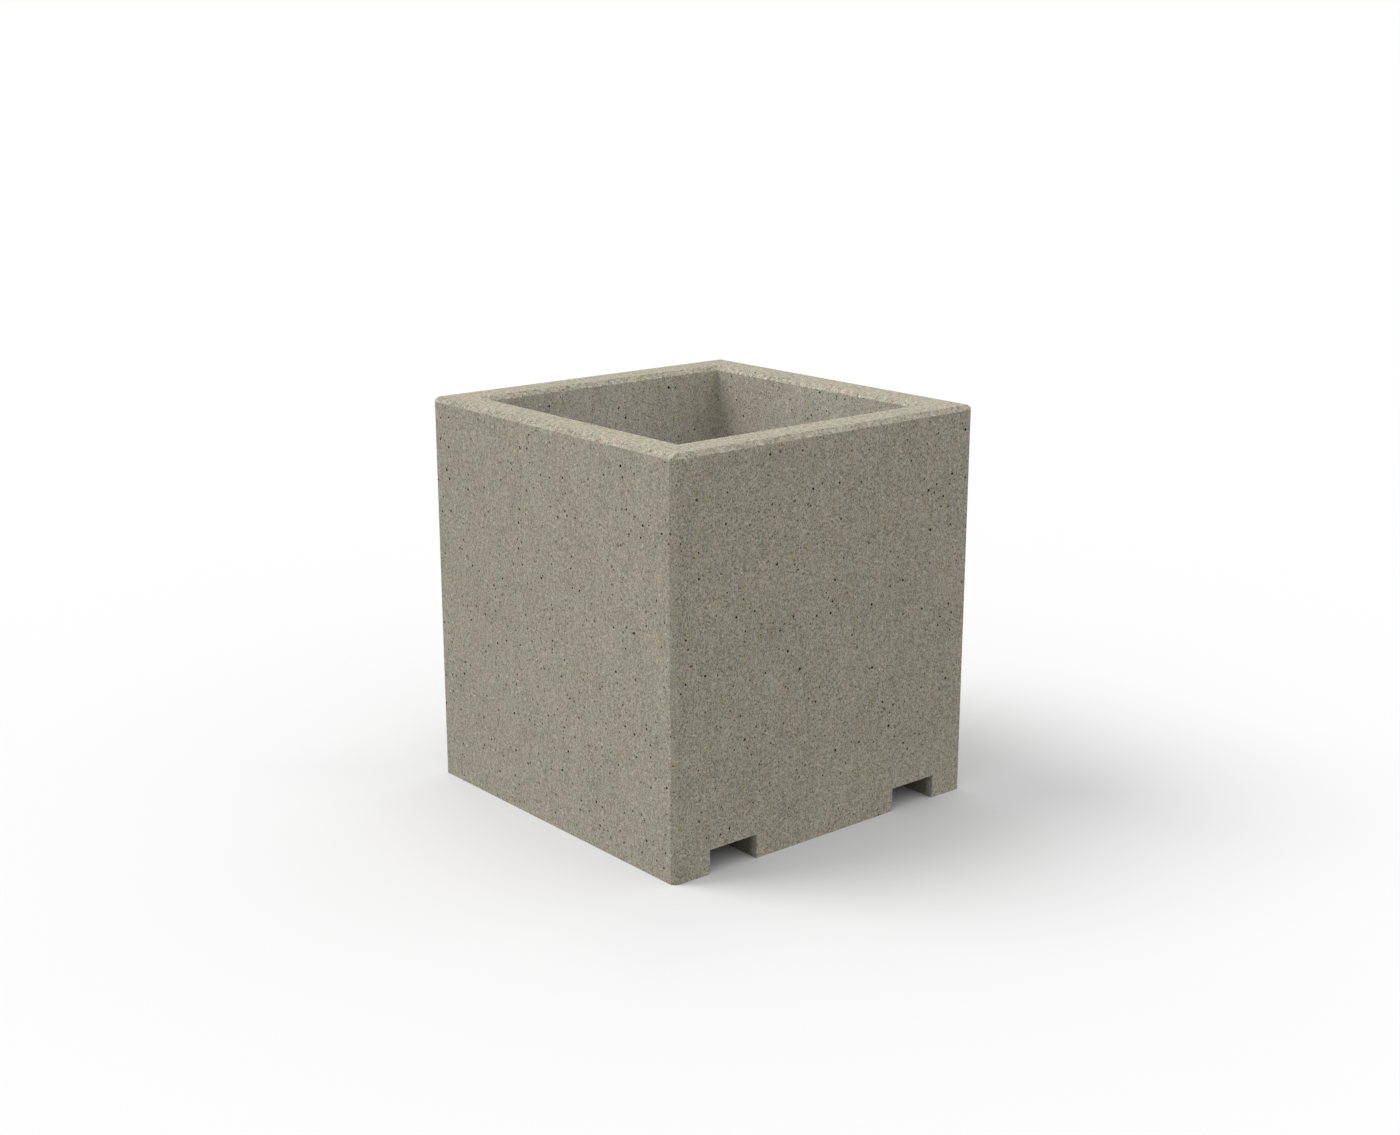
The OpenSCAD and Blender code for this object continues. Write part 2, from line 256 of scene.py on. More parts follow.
class Effects:
    """Shader node groups that more than one finish uses, each built the first time it is asked for."""

    def __init__(self) -> None:
        """Starts with no group built."""
        self.groups: dict[str, bpy.types.NodeTree] = {}

    def _group(
        self,
        name: str,
        inputs: dict[str, tuple[str, float | None]],
        outputs: dict[str, str],
        wire: Callable[[Graph, bpy.types.Node, bpy.types.Node], None],
    ) -> bpy.types.NodeTree:
        """Builds a group once.

        Args:
            name: The group's name.
            inputs: Each input's socket type and default.
            outputs: Each output's socket type.
            wire: Adds the nodes between the group's input and its output.

        Returns:
            The group.
        """
        if name in self.groups:
            return self.groups[name]
        tree = bpy.data.node_groups.new(name, "ShaderNodeTree")
        for label, (kind, default) in inputs.items():
            socket = tree.interface.new_socket(label, in_out="INPUT", socket_type=kind)
            if default is not None:
                socket.default_value = default
        for label, kind in outputs.items():
            tree.interface.new_socket(label, in_out="OUTPUT", socket_type=kind)
        graph = Graph(tree)
        start = graph.node("NodeGroupInput")
        wire(graph, start, graph.node("NodeGroupOutput"))
        self.groups[name] = tree
        return tree

    def place(self, graph: Graph, tree: bpy.types.NodeTree, feeds: Feeds) -> bpy.types.Node:
        """Puts a group into a material.

        Args:
            graph: The material's graph.
            tree: The group.
            feeds: What each input gets.

        Returns:
            The group node.
        """
        node = graph.node("ShaderNodeGroup", node_tree=tree)
        for key, value in feeds.items():
            graph.feed(node.inputs[key], value)
        return node

    def grain(self, graph: Graph, vector: Feed, grain: Grain) -> Socket:
        """Fine salt and pepper grain around 0.

        Args:
            graph: The material's graph.
            vector: Where it is read.
            grain: How fine and how strong it is.

        Returns:
            A value around 0.
        """

        def wire(group: Graph, start: bpy.types.Node, end: bpy.types.Node) -> None:
            noise = group.noise(start.outputs["Vector"], start.outputs["Scale"], 2.0, 0.7)
            centred = group.math("SUBTRACT", noise.outputs["Fac"], 0.5)
            group.feed(end.inputs["Value"], group.math("MULTIPLY", centred, start.outputs["Contrast"]))

        inputs = {
            "Vector": ("NodeSocketVector", None),
            "Scale": ("NodeSocketFloat", 300.0),
            "Contrast": ("NodeSocketFloat", 1.0),
        }
        tree = self._group("fine grain", inputs, {"Value": "NodeSocketFloat"}, wire)
        feeds = {"Vector": vector, "Scale": grain.scale, "Contrast": grain.contrast}
        return self.place(graph, tree, feeds).outputs["Value"]

    def specks(self, graph: Graph, vector: Feed, scatter: Scatter, level: Socket | None = None) -> Socket:
        """Scattered round specks, such as pits, sand grains or flakes.

        Args:
            graph: The material's graph.
            vector: Where they are read.
            scatter: How they are scattered.
            level: A mask of the faces that look up, where those hold another share.

        Returns:
            A mask, 1 inside a speck.
        """

        def wire(group: Graph, start: bpy.types.Node, end: bpy.types.Node) -> None:
            feeds: Feeds = {"Vector": start.outputs["Vector"], "Scale": start.outputs["Scale"]}
            cells = group.node("ShaderNodeTexVoronoi", feeds, feature="F1")
            chance = group.node("ShaderNodeSeparateColor", {"Color": cells.outputs["Color"]})
            kept = group.math("LESS_THAN", chance.outputs["Red"], start.outputs["Share"])
            size = group.ramp(chance.outputs["Green"], 0.0, 1.0, 0.45, 1.0)
            reach = group.math("MULTIPLY", size, start.outputs["Radius"])
            core = group.math("MULTIPLY", reach, 0.6)
            inside = group.ramp(cells.outputs["Distance"], core, reach, 1.0, 0.0)
            group.feed(end.inputs["Mask"], group.math("MULTIPLY", inside, kept))

        inputs = {
            "Vector": ("NodeSocketVector", None),
            "Scale": ("NodeSocketFloat", 100.0),
            "Share": ("NodeSocketFloat", 0.5),
            "Radius": ("NodeSocketFloat", 0.3),
        }
        tree = self._group("specks", inputs, {"Mask": "NodeSocketFloat"}, wire)
        share: Feed = scatter.share
        if level is not None:
            share = graph.ramp(level, 0.0, 1.0, scatter.share, scatter.share_on_top)
        feeds = {"Vector": vector, "Scale": scatter.scale, "Share": share, "Radius": scatter.radius}
        return self.place(graph, tree, feeds).outputs["Mask"]

    def patches(self, graph: Graph, vector: Feed, blotch: Blotch) -> Socket:
        """Large soft patches.

        Args:
            graph: The material's graph.
            vector: Where they are read.
            blotch: How large and how soft they are.

        Returns:
            A mask from 0 to 1.
        """

        def wire(group: Graph, start: bpy.types.Node, end: bpy.types.Node) -> None:
            noise = group.noise(start.outputs["Vector"], start.outputs["Scale"], 3.0, 0.45)
            low = group.math("SUBTRACT", 0.5, start.outputs["Edge"])
            high = group.math("ADD", 0.5, start.outputs["Edge"])
            group.feed(end.inputs["Mask"], group.ramp(noise.outputs["Fac"], low, high))

        inputs = {
            "Vector": ("NodeSocketVector", None),
            "Scale": ("NodeSocketFloat", 10.0),
            "Edge": ("NodeSocketFloat", 0.2),
        }
        tree = self._group("soft patches", inputs, {"Mask": "NodeSocketFloat"}, wire)
        feeds = {"Vector": vector, "Scale": blotch.scale, "Edge": blotch.edge}
        return self.place(graph, tree, feeds).outputs["Mask"]

    def up_facing(self, graph: Graph) -> Socket:
        """A mask that is 1 on faces that look up and 0 on upright ones.

        Args:
            graph: The material's graph.

        Returns:
            The mask.
        """

        def wire(group: Graph, start: bpy.types.Node, end: bpy.types.Node) -> None:
            normal = group.node("ShaderNodeNewGeometry").outputs["Normal"]
            tilt = group.node("ShaderNodeSeparateXYZ", {0: normal}).outputs["Z"]
            group.feed(end.inputs["Mask"], group.ramp(tilt, 0.3, 0.7))

        tree = self._group("up facing", {}, {"Mask": "NodeSocketFloat"}, wire)
        return self.place(graph, tree, {}).outputs["Mask"]


# ---- finishes ----------------------------------------------------------------------------------


def new_material(name: str) -> tuple[bpy.types.Material, Graph, bpy.types.Node, Socket]:
    """Starts a material with a Principled shader.

    Args:
        name: The material's name.

    Returns:
        The material, its graph, its shader and the place on the object.
    """
    material = bpy.data.materials.new(name)
    material.use_nodes = True
    material.node_tree.nodes.clear()
    graph = Graph(material.node_tree)
    place = graph.node("ShaderNodeTexCoord").outputs["Object"]
    shader = graph.node("ShaderNodeBsdfPrincipled")
    graph.node("ShaderNodeOutputMaterial", {"Surface": shader.outputs["BSDF"]})
    return material, graph, shader, place


@dataclass(frozen=True)
class ConcreteFinish:
    """Grey beige cast concrete, with its cement film, sand, pits with painted shade, faint stains and painted
    shade deep in the fork slots.
    """

    name: str = "cast concrete"
    tint: Colour = (0.387, 0.3686, 0.2965)
    green: Colour = (0.975, 1.003, 0.985)
    pink: Colour = (1.028, 0.992, 0.985)
    olive: Colour = (0.97, 0.955, 0.86)
    # Near black of the pits and pinholes: painted shade in holes that are only a bump dent.
    pit_shade: Colour = (0.05, 0.048, 0.04)
    fleck: Colour = (0.62, 0.60, 0.52)
    # Colour that the painted shade inside the fork slots multiplies by.
    slot_shade_tint: Colour = (0.55, 0.56, 0.49)
    shade: float = 1.017
    hues: Blotch = Blotch(21.0, 0.2)
    stains: Scatter = Scatter(34.0, 0.3, 0.55, 0.8)
    grain: Grain = Grain(330.0, 2.35)
    mottle: Grain = Grain(110.0, 0.8)
    streaks: Grain = Grain(60.0, 0.3)
    clouds: Grain = Grain(7.0, 0.18)
    rim_grain: Grain = Grain(90.0, 1.4)
    pits: Scatter = Scatter(55.0, 0.7, 0.22, 0.85, 0.1)
    pinholes: Scatter = Scatter(150.0, 0.55, 0.38, 0.62, 0.2)
    flecks: Scatter = Scatter(80.0, 0.32, 0.23, 0.9)
    grain_length: float = 1.45
    streak_length: float = 5.0
    fleck_length: float = 2.2
    fleck_tilt: float = 40.0
    inner_reach: float = 0.412
    inner_blend: float = 0.004
    inner_boost: float = 1.15
    slot_top: float = 0.0635
    slot_blend: float = 0.003
    slot_mouth: float = 0.505
    slot_fade: float = 0.03
    foot_low: float = 0.0002
    foot_high: float = 0.002
    smooth: float = 0.82
    rough: float = 0.96
    relief: float = 0.0004

    def swing(self, graph: Graph, effects: Effects, place: Socket, fine: Socket, level: Socket) -> Socket:
        """How far the tone swings, with streaks on upright faces and a coarser grain on the rim.

        Args:
            graph: The material's graph.
            effects: The shared node groups.
            place: The place on the object.
            fine: The swing of the fine grain.
            level: A mask of the faces that look up.

        Returns:
            A value around 0.
        """
        drawn = graph.stretch(place, (1.0, 1.0, self.streak_length))
        upright = graph.math("SUBTRACT", 1.0, level)
        streaks = graph.math("MULTIPLY", effects.grain(graph, drawn, self.streaks), upright)
        rim = graph.math("MULTIPLY", effects.grain(graph, place, self.rim_grain), level)
        swing = graph.math("ADD", graph.math("ADD", fine, streaks), rim)
        return graph.math("ADD", swing, effects.grain(graph, place, self.clouds))

    def wear_and_slot_shade(self, graph: Graph, height: Socket, reach: Socket) -> Socket:
        """A mask of the inside of the fork slots, where shade is painted; it fades out towards the slot
        mouths.

        Args:
            graph: The material's graph.
            height: The height on the object.
            reach: How far out it is, along X or Y.

        Returns:
            The mask.
        """
        low = graph.ramp(height, self.slot_top, self.slot_top + self.slot_blend, 1.0, 0.0)
        lifted = graph.ramp(height, self.foot_low, self.foot_high)
        deep = graph.ramp(reach, self.slot_mouth - self.slot_fade, self.slot_mouth, 1.0, 0.0)
        return graph.math("MULTIPLY", graph.math("MULTIPLY", low, lifted), deep)

    def material(self, effects: Effects) -> bpy.types.Material:
        """Builds the material.

        Args:
            effects: The shared node groups.

        Returns:
            The material.
        """
        material, graph, shader, place = new_material(self.name)
        level = effects.up_facing(graph)
        across = graph.node("ShaderNodeSeparateXYZ", {0: place})
        reach = graph.math("MAXIMUM", *(graph.math("ABSOLUTE", across.outputs[axis]) for axis in "XY"))
        inside = graph.ramp(reach, self.inner_reach, self.inner_reach + self.inner_blend, 1.0, 0.0)

        hue = effects.patches(graph, place, self.hues)
        colour = graph.mix(1.0, self.tint, graph.mix(hue, self.green, self.pink), "MULTIPLY")
        stained = graph.mix(1.0, colour, self.olive, "MULTIPLY")
        stains = graph.math("MULTIPLY", effects.specks(graph, place, self.stains), self.stains.strength)
        colour = graph.mix(stains, colour, stained)
        drawn = graph.stretch(place, (1.0, 1.0, self.grain_length))
        grain = effects.grain(graph, drawn, self.grain)
        mottle = effects.grain(graph, drawn, self.mottle)
        swing = self.swing(graph, effects, place, graph.math("ADD", grain, mottle), level)
        swing = graph.math("MULTIPLY", swing, graph.ramp(inside, 0.0, 1.0, 1.0, self.inner_boost))
        value = graph.math("ADD", swing, self.shade)
        grey = graph.node("ShaderNodeCombineColor", {"Red": value, "Green": value, "Blue": value})
        colour = graph.mix(1.0, colour, grey.outputs["Color"], "MULTIPLY")

        # Pits and pinholes are bump dents whose colour is painted shade, near black.
        pits = effects.specks(graph, place, self.pits, level)
        pinholes = effects.specks(graph, place, self.pinholes, level)
        dark = graph.math("MAXIMUM", pits, graph.math("MULTIPLY", pinholes, self.pinholes.strength))
        colour = graph.mix(graph.math("MULTIPLY", dark, self.pits.strength), colour, self.pit_shade)
        slanted = graph.stretch(place, (1.0, 1.0, self.fleck_length), self.fleck_tilt)
        flecks = effects.specks(graph, slanted, self.flecks)
        colour = graph.mix(graph.math("MULTIPLY", flecks, self.flecks.strength), colour, self.fleck)
        # Painted shade: the inside of the fork slots is darkened, fading out towards the mouths.
        wear_and_slot_shade = self.wear_and_slot_shade(graph, across.outputs["Z"], reach)
        colour = graph.mix(wear_and_slot_shade, colour, graph.mix(1.0, colour, self.slot_shade_tint, "MULTIPLY"))
        graph.feed(shader.inputs["Base Color"], colour)

        height = graph.math("SUBTRACT", graph.math("MULTIPLY", grain, 0.5), dark)
        bump = graph.node("ShaderNodeBump", {"Height": height, "Strength": 0.6, "Distance": self.relief})
        graph.feed(shader.inputs["Normal"], bump.outputs["Normal"])
        graph.feed(shader.inputs["Roughness"], graph.ramp(mottle, -0.2, 0.2, self.smooth, self.rough))
        shader.inputs["Specular IOR Level"].default_value = 0.0
        return material


@dataclass(frozen=True)
class BarFinish:
    """Hot rolled reinforcing bar: grey mill scale, a bloom of rust and slanting rolled ribs."""

    name: str = "reinforcing bar"
    scale_colour: Colour = (0.115, 0.105, 0.10)
    rust_dark: Colour = (0.16, 0.062, 0.028)
    rust_light: Colour = (0.36, 0.15, 0.06)
    bloom: Blotch = Blotch(45.0, 0.12)
    flakes: Scatter = Scatter(400.0, 0.4, 0.4, 0.7)
    tone_scale: float = 240.0
    rib_pitch: float = 0.0085
    rib_height: float = 0.0006

    def material(self, effects: Effects) -> bpy.types.Material:
        """Builds the material.

        Args:
            effects: The shared node groups.

        Returns:
            The material.
        """
        material, graph, shader, place = new_material(self.name)
        bloom = effects.patches(graph, place, self.bloom)
        tone = graph.noise(place, self.tone_scale, 4.0, 0.65).outputs["Fac"]
        rust = graph.mix(graph.ramp(tone, 0.35, 0.65), self.rust_dark, self.rust_light)
        flakes = effects.specks(graph, place, self.flakes)
        cover = graph.math("MAXIMUM", bloom, graph.math("MULTIPLY", flakes, self.flakes.strength))
        graph.feed(shader.inputs["Base Color"], graph.mix(cover, self.scale_colour, rust))
        graph.feed(shader.inputs["Metallic"], graph.ramp(cover, 0.0, 0.6, 0.75, 0.0))
        graph.feed(shader.inputs["Roughness"], graph.ramp(cover, 0.0, 1.0, 0.48, 0.9))

        # Bands across all three axes cut a bar along any axis into slanting ribs
        ribs = graph.node(
            "ShaderNodeTexWave",
            {"Vector": place, "Scale": math.tau / (10.0 * self.rib_pitch), "Distortion": 0.0},
            wave_type="BANDS",
            bands_direction="DIAGONAL",
        )
        raised = graph.ramp(ribs.outputs["Fac"], 0.55, 0.85)
        height = graph.math("ADD", raised, graph.math("MULTIPLY", tone, 0.25))
        bump = graph.node("ShaderNodeBump", {"Height": height, "Strength": 0.8, "Distance": self.rib_height})
        graph.feed(shader.inputs["Normal"], bump.outputs["Normal"])
        return material


@dataclass(frozen=True)
class WireFinish:
    """Soft black annealed wire with a little rust."""

    name: str = "annealed tie wire"
    black: Colour = (0.035, 0.034, 0.036)
    rust: Colour = (0.17, 0.075, 0.035)
    bloom: Blotch = Blotch(160.0, 0.08)
    bloom_strength: float = 0.55
    scuff: Grain = Grain(900.0, 0.6)

    def material(self, effects: Effects) -> bpy.types.Material:
        """Builds the material.

        Args:
            effects: The shared node groups.

        Returns:
            The material.
        """
        material, graph, shader, place = new_material(self.name)
        bloom = effects.patches(graph, place, self.bloom)
        scuff = effects.grain(graph, place, self.scuff)
        share = graph.math("MULTIPLY", bloom, self.bloom_strength)
        colour = graph.mix(share, self.black, self.rust)
        graph.feed(shader.inputs["Base Color"], colour)
        graph.feed(shader.inputs["Metallic"], graph.ramp(bloom, 0.0, 1.0, 0.85, 0.3))
        graph.feed(shader.inputs["Roughness"], graph.math("ADD", 0.5, scuff, clamp=True))
        bump = graph.node("ShaderNodeBump", {"Height": scuff, "Strength": 0.4, "Distance": 0.0001})
        graph.feed(shader.inputs["Normal"], bump.outputs["Normal"])
        return material


@dataclass(frozen=True)
class PlasticFinish:
    """Moulded or extruded plastic with a fine texture, scuffs and a film of cement dust."""

    name: str
    tint: Colour
    dust: Colour = (0.40, 0.38, 0.31)
    dust_share: float = 0.35
    film: Blotch = Blotch(55.0, 0.15)
    splash: Scatter = Scatter(180.0, 0.25, 0.3)
    tone: Grain = Grain(30.0, 0.12)
    texture: Grain = Grain(1400.0, 1.0)
    roughness: float = 0.42

    def material(self, effects: Effects) -> bpy.types.Material:
        """Builds the material.

        Args:
            effects: The shared node groups.

        Returns:
            The material.
        """
        material, graph, shader, place = new_material(self.name)
        film = effects.patches(graph, place, self.film)
        splash = effects.specks(graph, place, self.splash)
        dirt = graph.math("MAXIMUM", graph.math("MULTIPLY", film, self.dust_share), splash)
        tone = effects.grain(graph, place, self.tone)
        value = graph.math("ADD", 1.0, tone)
        grey = graph.node("ShaderNodeCombineColor", {"Red": value, "Green": value, "Blue": value})
        plain = graph.mix(1.0, self.tint, grey.outputs["Color"], "MULTIPLY")
        graph.feed(shader.inputs["Base Color"], graph.mix(dirt, plain, self.dust))
        graph.feed(shader.inputs["Roughness"], graph.ramp(dirt, 0.0, 1.0, self.roughness, 0.9))
        texture = effects.grain(graph, place, self.texture)
        height = graph.math("ADD", texture, graph.math("MULTIPLY", splash, 2.0))
        bump = graph.node("ShaderNodeBump", {"Height": height, "Strength": 0.35, "Distance": 0.00012})
        graph.feed(shader.inputs["Normal"], bump.outputs["Normal"])
        shader.inputs["IOR"].default_value = 1.49
        return material


@dataclass(frozen=True)
class ZincFinish:
    """Zinc plated steel with a dull crystalline bloom and cement specks."""

    name: str = "zinc plated steel"
    light: Colour = (0.60, 0.62, 0.64)
    dull: Colour = (0.38, 0.40, 0.42)
    cement: Colour = (0.42, 0.40, 0.33)
    crystal_scale: float = 260.0
    bloom: Blotch = Blotch(90.0, 0.2)
    specks: Scatter = Scatter(220.0, 0.2, 0.3)
    scratch: Grain = Grain(1200.0, 0.5)
    scratch_length: float = 10.0

    def material(self, effects: Effects) -> bpy.types.Material:
        """Builds the material.

        Args:
            effects: The shared node groups.

        Returns:
            The material.
        """
        material, graph, shader, place = new_material(self.name)
        feeds: Feeds = {"Vector": place, "Scale": self.crystal_scale}
        cells = graph.node("ShaderNodeTexVoronoi", feeds, feature="F1")
        tone = graph.node("ShaderNodeSeparateColor", {"Color": cells.outputs["Color"]}).outputs["Red"]
        bloom = effects.patches(graph, place, self.bloom)
        wear_and_slot_shade = graph.math("ADD", graph.math("MULTIPLY", tone, 0.5), graph.math("MULTIPLY", bloom, 0.5))
        specks = effects.specks(graph, place, self.specks)
        colour = graph.mix(wear_and_slot_shade, self.light, self.dull)
        graph.feed(shader.inputs["Base Color"], graph.mix(specks, colour, self.cement))
        graph.feed(shader.inputs["Metallic"], graph.ramp(specks, 0.0, 1.0, 1.0, 0.0))
        graph.feed(shader.inputs["Roughness"], graph.ramp(wear_and_slot_shade, 0.0, 1.0, 0.3, 0.6))
        along = graph.stretch(place, (1.0, 1.0, self.scratch_length))
        scratch = effects.grain(graph, along, self.scratch)
        bump = graph.node("ShaderNodeBump", {"Height": scratch, "Strength": 0.25, "Distance": 0.0001})
        graph.feed(shader.inputs["Normal"], bump.outputs["Normal"])
        return material


# ---- modelling ---------------------------------------------------------------------------------


def only(obj: bpy.types.Object) -> bpy.types.Object:
    """Makes one object the active and only selected one.

    Args:
        obj: The object.

    Returns:
        The same object.
    """
    bpy.ops.object.select_all(action="DESELECT")
    obj.select_set(True)
    bpy.context.view_layer.objects.active = obj
    return obj


def settle(name: str) -> bpy.types.Object:
    """Names the active primitive and puts its place and size into its mesh.

    Args:
        name: The object's name.

    Returns:
        The object.
    """
    obj = bpy.context.object
    obj.name = name
    bpy.ops.object.transform_apply(location=True, rotation=True, scale=True)
    return obj


def add_box(name: str, low: Vector, high: Vector) -> bpy.types.Object:
    """A box between two corners.

    Args:
        name: The object's name.
        low: Its lowest corner.
        high: Its highest corner.

    Returns:
        The box.
    """
    bpy.ops.object.select_all(action="DESELECT")
    bpy.ops.mesh.primitive_cube_add(size=1.0, location=(low + high) / 2)
    bpy.context.object.scale = high - low
    return settle(name)


def add_post(name: str, at: Vector, radius: float, bottom: float, top: float) -> bpy.types.Object:
    """An upright round post.

    Args:
        name: The object's name.
        at: A point on its axis.
        radius: Its radius.
        bottom: The height of its lower end.
        top: The height of its upper end.

    Returns:
        The post.
    """
    bpy.ops.object.select_all(action="DESELECT")
    middle = (at.x, at.y, (bottom + top) / 2)
    bpy.ops.mesh.primitive_cylinder_add(
        vertices=POST_SIDES, radius=radius, depth=top - bottom, location=middle
    )
    return settle(name)


def in_edit_mode(obj: bpy.types.Object, pick: Callable[[bpy.types.MeshPolygon], bool]) -> None:
    """Opens edit mode with only the chosen faces selected.

    Args:
        obj: The object to edit.
        pick: Says of each face whether it is chosen.
    """
    only(obj)
    bpy.ops.object.mode_set(mode="EDIT")
    bpy.ops.mesh.select_mode(type="FACE")
    bpy.ops.mesh.select_all(action="DESELECT")
    bpy.ops.object.mode_set(mode="OBJECT")
    for face in obj.data.polygons:
        face.select = pick(face)
    bpy.ops.object.mode_set(mode="EDIT")


def slice_off(obj: bpy.types.Object, point: Vector, normal: Vector) -> None:
    """Cuts away what lies beyond a plane and closes the cut.

    Args:
        obj: The object to cut.
        point: A point on the plane.
        normal: The direction of the side that is cut away.
    """
    in_edit_mode(obj, lambda face: True)
    bpy.ops.mesh.bisect(plane_co=point, plane_no=normal, use_fill=True, clear_outer=True)
    bpy.ops.object.mode_set(mode="OBJECT")


def carve(obj: bpy.types.Object, cutter: bpy.types.Object) -> None:
    """Cuts one object out of another and deletes the cutter.

    Args:
        obj: The object that is cut.
        cutter: The shape of what is taken away; its material lines the cut.
    """
    only(obj)
    modifier = obj.modifiers.new("carve", "BOOLEAN")
    modifier.object = cutter
    modifier.operation = "DIFFERENCE"
    modifier.solver = "EXACT"
    modifier.material_mode = "TRANSFER"
    bpy.ops.object.modifier_apply(modifier=modifier.name)
    bpy.data.objects.remove(cutter)


def join(parts: list[bpy.types.Object], name: str) -> bpy.types.Object:
    """Joins objects into one.

    Args:
        parts: The objects.
        name: The name of the result.

    Returns:
        The joined object.
    """
    only(parts[0])
    for part in parts:
        part.select_set(True)
    bpy.ops.object.join()
    parts[0].name = name
    return parts[0]


@dataclass(frozen=True)
class Panel:
    """A flat stretch of formed surface: its low corner, its two sides and its outward normal."""

    corner: Vector
    along: Vector
    up: Vector
    normal: Vector
    ground: Ground

    @property
    def area(self) -> float:
        """The panel's area."""
        return self.along.length * self.up.length


@dataclass
class BlowHoles:
    """Small round voids that air bubbles leave in a formed face."""

    seed: int = 7
    smallest: float = 0.0024
    largest: float = 0.0040
    size_bias: float = 1.3
    oval: tuple[float, float] = (0.8, 1.15)
    flattest: float = 0.7
    facet_turn: tuple[float, float, float] = (0.31, 0.17, 0.0)
    spacing: float = 0.022
    margin: float = 0.006
    clearance: float = 0.0015

    def spots(self, panels: list[Panel], cast_in: KDTree) -> Iterator[tuple[Vector, Vector, float]]:
        """Chooses where the holes are.

        Args:
            panels: The formed faces.
            cast_in: The points of pieces that lie just under a face.

        Yields:
            The middle of each hole's mouth, the face's normal and the hole's radius.
        """
        dice = random.Random(self.seed)
        for panel in panels:
            taken: list[Vector] = []
            for _ in range(round(panel.area * panel.ground.value)):
                radius = self.smallest + (self.largest - self.smallest) * dice.random() ** self.size_bias
                along = self.margin + dice.random() * (panel.along.length - 2 * self.margin)
                up = self.margin + dice.random() * (panel.up.length - 2 * self.margin)
                spot = panel.corner + panel.along.normalized() * along + panel.up.normalized() * up
                crowded = any((spot - other).length < self.spacing for other in taken)
                _, _, depth = cast_in.find(spot)
                if not crowded and depth > radius + self.clearance:
                    taken.append(spot)
                    yield spot, panel.normal, radius

    def cutter(self, panels: list[Panel], cast_in: KDTree, hole_shade: bpy.types.Material) -> bpy.types.Object:
        """Models one bubble and copies it to every hole.

        Args:
            panels: The formed faces.
            cast_in: The points of pieces that lie just under a face.
            hole_shade: The finish of the inside of a hole.

        Returns:
            All the bubbles as one object.
        """
        bpy.ops.object.select_all(action="DESELECT")
        bpy.ops.mesh.primitive_ico_sphere_add(subdivisions=2, radius=1.0)
        bubble = settle("bubble")
        bubble.data.transform(Euler(self.facet_turn).to_matrix().to_4x4())
        # The inside of each hole gets a near black finish: painted shade in the hole.
        bubble.data.materials.append(hole_shade)
        dice = random.Random(self.seed + 1)
        copies = []
        for spot, normal, radius in self.spots(panels, cast_in):
            turn = normal.to_track_quat("Z", "Y").to_matrix().to_4x4()
            spin = Euler((0.0, 0.0, dice.uniform(0.0, math.tau))).to_matrix().to_4x4()
            flat = dice.uniform(self.flattest, 1.0)
            sizes = Matrix.Diagonal((radius * dice.uniform(*self.oval), radius, radius * flat, 1.0))
            copy = bubble.copy()
            copy.data = bubble.data.copy()
            copy.data.transform(Matrix.Translation(spot) @ turn @ spin @ sizes)
            bpy.context.scene.collection.objects.link(copy)
            copies.append(copy)
        bpy.data.objects.remove(bubble)
        return join(copies, "bubbles")


